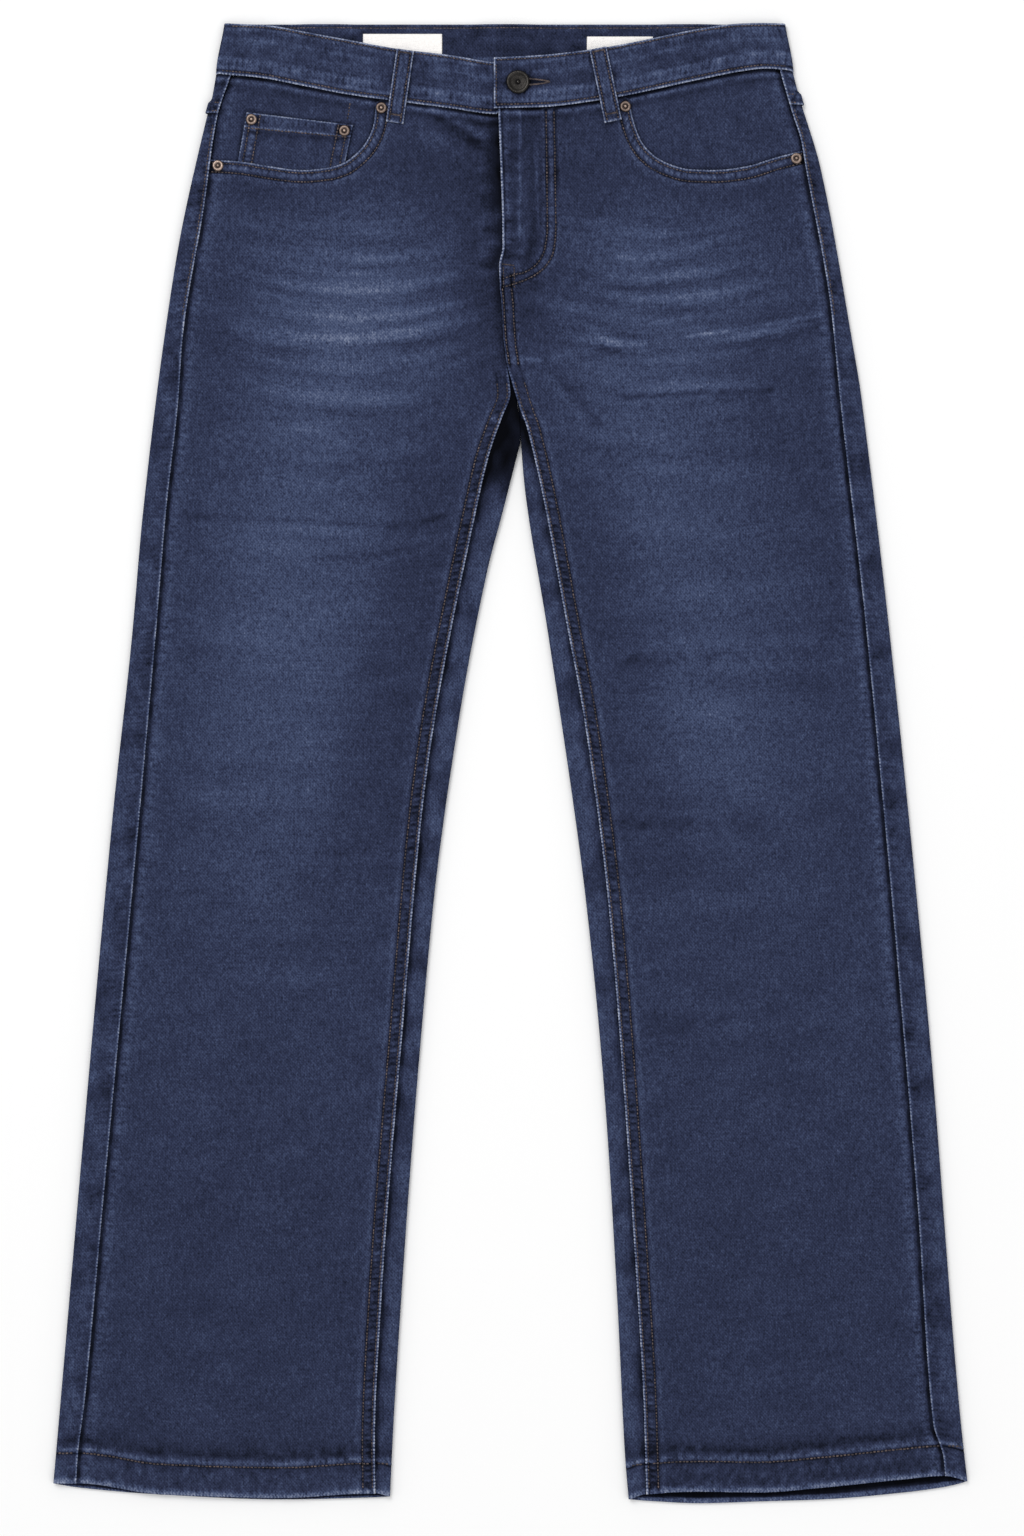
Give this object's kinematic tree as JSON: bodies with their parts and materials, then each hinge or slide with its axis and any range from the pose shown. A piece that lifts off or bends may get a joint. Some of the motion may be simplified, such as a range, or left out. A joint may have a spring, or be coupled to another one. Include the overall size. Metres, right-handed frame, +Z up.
{
  "type": "straight leg jeans",
  "caption": "Five-pocket denim jeans with straight legs, laid flat with the front up and the fly buttoned: waistband, belt loops, hip and coin pockets, yokes, rivets and stitched hems.",
  "frame": {"origin": "under the middle of the garment, on the surface that it lies on", "axes": "+Y towards the waist along the garment's length, +Z up through its thickness, +X towards the wearer's left side"},
  "size_m": [0.6586, 1.0662, 0.0115],
  "materials": {
    "denim": "washed indigo twill",
    "denim_band": "washed indigo twill",
    "label_cloth": "matt woven",
    "antique_copper": "antiqued",
    "gunmetal": "darkened",
    "zip_tape": "woven"
  },
  "bodies": {
    "root": {"front_right": "denim", "front_left": "denim", "back_right": "denim", "back_left": "denim", "yoke_right": "denim", "yoke_left": "denim", "waistband": "denim_band", "pocket_facing_right": "denim", "pocket_facing_left": "denim", "coin_pocket": "denim", "back_pocket_right": "denim", "back_pocket_left": "denim", "belt_loop_front_right": "denim", "belt_loop_front_left": "denim", "belt_loop_back_right": "denim", "belt_loop_back_centre": "denim", "belt_loop_back_left": "denim", "rivet_hip_right_top": "antique_copper", "rivet_hip_right_side": "antique_copper", "rivet_coin_outer": "antique_copper", "rivet_coin_inner": "antique_copper", "rivet_hip_left_top": "antique_copper", "rivet_hip_left_side": "antique_copper", "button": "gunmetal", "label_right": "label_cloth", "label_left": "label_cloth", "fly_zip": "zip_tape", "zip_slider": "antique_copper"}
  },
  "joints": []
}
